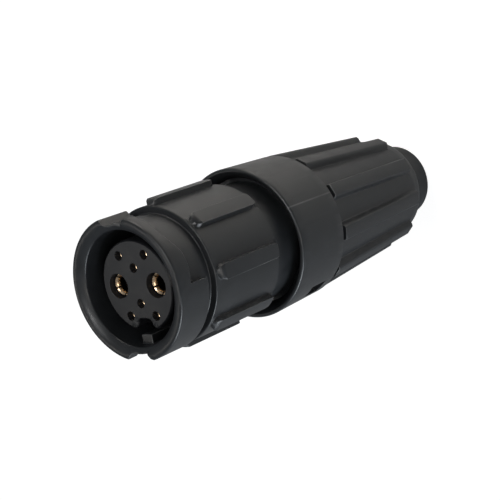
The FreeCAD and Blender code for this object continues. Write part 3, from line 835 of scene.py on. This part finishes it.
def area_lamp(name, aim, away, size, tint, beam, power):
    """Soft round lamp that looks at a point from a distance."""
    data = bpy.data.lights.new(name, "AREA")
    data.shape = "DISK"
    data.size = size
    data.energy = power
    data.color = tint
    data.spread = math.radians(beam)
    lamp = linked(data, name)
    lamp.location = aim + Vector(away)
    lamp.rotation_mode = "QUATERNION"
    lamp.rotation_quaternion = (-Vector(away)).to_track_quat("-Z", "Y")


def white_world(strength):
    """Dim even light from all round, and a white background."""
    world = bpy.data.worlds.new("white_room")
    bpy.context.scene.world = world
    world.use_nodes = True
    tree = world.node_tree
    paths = tree.nodes.new("ShaderNodeLightPath")
    seen = math_node(tree, "MAXIMUM", paths.outputs["Is Camera Ray"], paths.outputs["Is Transmission Ray"])
    level = tree.nodes.new("ShaderNodeMapRange")
    level.inputs["To Min"].default_value = strength
    level.inputs["To Max"].default_value = 1.0
    tree.links.new(seen, level.inputs["Value"])
    background = tree.nodes["Background"]
    tree.links.new(mix_colour(tree, seen, COOL, WHITE), background.inputs["Color"])
    tree.links.new(level.outputs["Result"], background.inputs["Strength"])


def floor_material():
    """Floor that the camera sees white with a soft shadow, and the plug sees pale grey."""
    made, tree, surface = new_material("pale_floor")
    surface.inputs["Roughness"].default_value = FLOOR_ROUGHNESS
    paths = tree.nodes.new("ShaderNodeLightPath")
    seen = paths.outputs["Is Camera Ray"]
    tree.links.new(mix_colour(tree, seen, FLOOR_LIT, FLOOR_SEEN), surface.inputs["Base Color"])
    glow = tree.nodes.new("ShaderNodeEmission")
    glow.inputs["Color"].default_value = (*WHITE, 1.0)
    glow.inputs["Strength"].default_value = GLOW_STRENGTH
    blend = tree.nodes.new("ShaderNodeMixShader")
    tree.links.new(math_node(tree, "MULTIPLY", seen, GLOW_SHARE), blend.inputs["Fac"])
    tree.links.new(surface.outputs[0], blend.inputs[1])
    tree.links.new(glow.outputs[0], blend.inputs[2])
    tree.links.new(blend.outputs[0], tree.nodes["Material Output"].inputs["Surface"])
    return made


def pale_floor():
    """Wide floor under the plug."""
    shape = bmesh.new()
    bmesh.ops.create_grid(shape, x_segments=1, y_segments=1, size=FLOOR_HALF)
    floor = linked(mesh_of(shape, "floor"), "floor")
    floor.data.materials.append(floor_material())


def aimed_camera(stage):
    """Camera that stands, looks and leans as the stage's settings say."""
    place, aim = Vector(stage.camera_place), Vector(stage.camera_aim)
    back = (place - aim).normalized()
    right = Vector(stage.camera_up).cross(back).normalized()
    up = back.cross(right)
    camera = linked(bpy.data.cameras.new("camera"), "camera")
    camera.data.lens = stage.lens
    camera.data.clip_start = 10 * MM
    camera.matrix_world = Matrix.Translation(place) @ Matrix((right, up, back)).transposed().to_4x4()
    return camera


class PLUG_OT_stage(bpy.types.Operator):
    """Pale floor, soft lamps and the camera"""

    bl_idname = "plug.stage"
    bl_label = "Stage"

    def execute(self, context):
        stage = context.scene.plug_stage
        context.scene.camera = aimed_camera(stage)
        pale_floor()
        white_world(stage.sky_strength)
        for name, *layout in LAMPS:
            area_lamp(name, *layout, getattr(stage, name + "_power"))
        context.scene.view_settings.view_transform = "Standard"
        return {"FINISHED"}


class PLUG_PT_panel(bpy.types.Panel):
    """Lists the plug's pieces and settings"""

    bl_label = "Circular plug"
    bl_idname = "PLUG_PT_panel"
    bl_space_type = "VIEW_3D"
    bl_region_type = "UI"
    bl_category = "Plug"

    def draw(self, context):
        for operator in STEPS:
            self.layout.operator(operator.bl_idname)
        for group in (context.scene.plug_finish, context.scene.plug_sizes, context.scene.plug_stage):
            box = self.layout.box()
            for name in group.__annotations__:
                box.prop(group, name)


STEPS = (
    PLUG_OT_inner_pieces,
    PLUG_OT_front_shell,
    PLUG_OT_body_sleeve,
    PLUG_OT_gland_nut,
    PLUG_OT_contact_insert,
    PLUG_OT_power_sockets,
    PLUG_OT_signal_sockets,
    PLUG_OT_stage,
)
GROUPS = {"plug_finish": PlugFinish, "plug_sizes": PlugSizes, "plug_stage": PlugStage}


def register():
    """Registers the settings, the operators and the panel."""
    for name, group in GROUPS.items():
        bpy.utils.register_class(group)
        setattr(bpy.types.Scene, name, bpy.props.PointerProperty(type=group))
    for operator in (*STEPS, PLUG_PT_panel):
        bpy.utils.register_class(operator)


def unregister():
    """Takes all of it out again."""
    for operator in (PLUG_PT_panel, *reversed(STEPS)):
        bpy.utils.unregister_class(operator)
    for name, group in GROUPS.items():
        delattr(bpy.types.Scene, name)
        bpy.utils.unregister_class(group)


def main():
    register()
    for operator in STEPS:
        area, name = operator.bl_idname.split(".")
        getattr(getattr(bpy.ops, area), name)()


if __name__ == "__main__":
    main()
